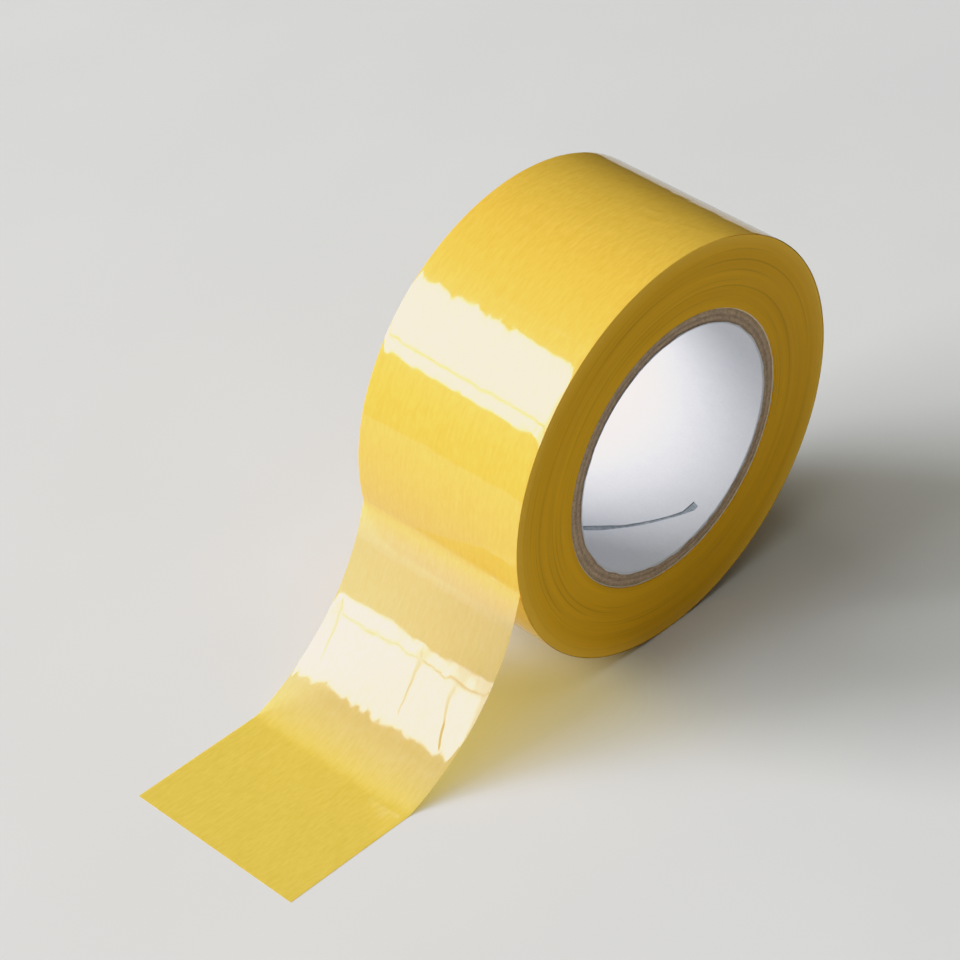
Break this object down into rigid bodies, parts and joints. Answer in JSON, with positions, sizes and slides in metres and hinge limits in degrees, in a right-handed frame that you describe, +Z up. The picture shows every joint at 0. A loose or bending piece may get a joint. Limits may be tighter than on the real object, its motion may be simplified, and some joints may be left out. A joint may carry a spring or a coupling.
{
  "type": "roll of masking tape",
  "caption": "Roll of glossy film masking tape on a chipboard core, standing on its tread with its free end peeled off and lying flat.",
  "frame": {"origin": "centre of the core's bore, halfway across the tape's width", "axes": "+Z up, with the roll standing on its tread at z = -65 mm; +Y along the roll's axis; the free end leaves the roll on the -X side and lies flat towards -X"},
  "size_m": [0.218, 0.06, 0.13],
  "materials": {
    "liner_paper": "smooth matt white paper liner with a dark helical seam",
    "chipboard": "grey-brown fibrous chipboard, cut edge",
    "kraft_paper": "thin light kraft paper wrap, cut edge",
    "wound_film": "ochre slit edge of tightly wound film with fine concentric lines",
    "film": "glossy translucent yellow film, wound on",
    "free_film": "glossy translucent yellow film, single thickness"
  },
  "bodies": {
    "roll": {"core_liner": "liner_paper", "core_ply_1": "chipboard", "core_ply_2": "chipboard", "core_ply_3": "chipboard", "core_ply_4": "chipboard", "core_ply_5": "chipboard", "core_wrap": "kraft_paper", "wound_tape": "wound_film"},
    "outer_turn": {"outer_turn": "film"},
    "tail_upper": {"tail_upper": "free_film"},
    "tail_middle": {"tail_middle": "free_film"},
    "tail_end": {"tail_end": "free_film"}
  },
  "joints": [
    {"name": "unwind", "type": "hinge", "parent": "roll", "child": "outer_turn", "pos_m": [0, 0, 0], "axis": [0, 1, 0], "continuous": true},
    {"name": "tail_peel", "type": "hinge", "parent": "outer_turn", "child": "tail_upper", "pos_m": [-0.06352, 0, -0.0135], "axis": [0, 1, 0], "range_deg": [-12, 75], "stiffness_Nm_per_rad": 0.0002},
    {"name": "tail_flex", "type": "hinge", "parent": "tail_upper", "child": "tail_middle", "pos_m": [-0.0804, 0, -0.04645], "axis": [0, 1, 0], "range_deg": [-45, 40], "stiffness_Nm_per_rad": 0.0002},
    {"name": "landing_flex", "type": "hinge", "parent": "tail_middle", "child": "tail_end", "pos_m": [-0.10626, 0, -0.06425], "axis": [0, 1, 0], "range_deg": [-45, 45], "stiffness_Nm_per_rad": 0.0002}
  ]
}
